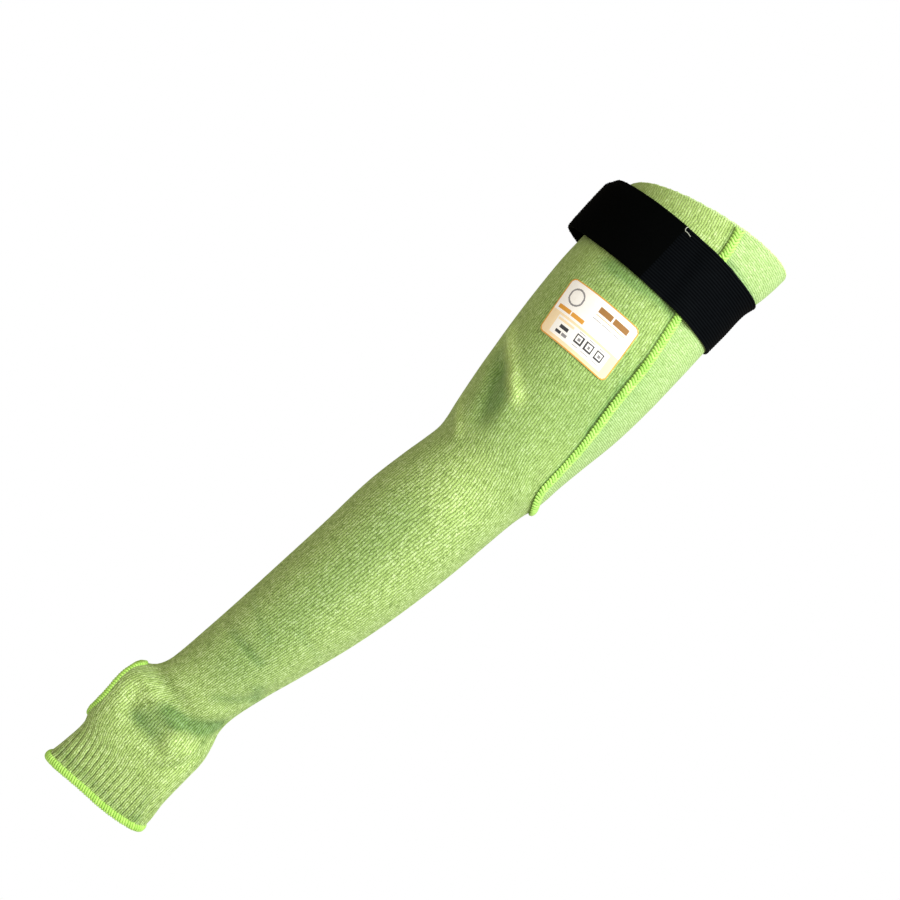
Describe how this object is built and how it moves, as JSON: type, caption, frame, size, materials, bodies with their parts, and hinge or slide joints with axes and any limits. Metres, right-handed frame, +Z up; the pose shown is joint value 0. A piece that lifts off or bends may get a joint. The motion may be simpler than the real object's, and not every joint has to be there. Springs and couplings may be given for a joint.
{
  "type": "cut resistant sleeve",
  "caption": "Knitted cut resistant arm sleeve with a ribbed cuff, a bound thumb hole, an elbow gusset and a hook and loop strap round the upper arm.",
  "frame": {"origin": "middle of the upper arm opening, at the hem", "axes": "+Z up the arm to the shoulder, +X to the outer side of the elbow, -X to the thumb hole, -Y to the front with the label"},
  "size_m": [0.1313, 0.1121, 0.5815],
  "materials": {
    "knit": "heathered lime green knit",
    "gusset_knit": "lime green knit turned across",
    "seam_thread": "lime overlock thread",
    "edge_thread": "lime overlock thread",
    "elastic": "ribbed black elastic",
    "plush": "black brushed loop pile",
    "hook": "black hook tape",
    "label_cloth": "smooth printed label"
  },
  "bodies": {
    "root": {"sleeve_tube": "knit", "elbow_gusset": "gusset_knit", "gusset_seam": "seam_thread", "cuff_binding": "edge_thread", "thumb_binding": "edge_thread", "strap_elastic": "elastic", "strap_loop_tape": "plush", "strap_hook_pad": "hook", "label_patch": "label_cloth"}
  },
  "joints": []
}
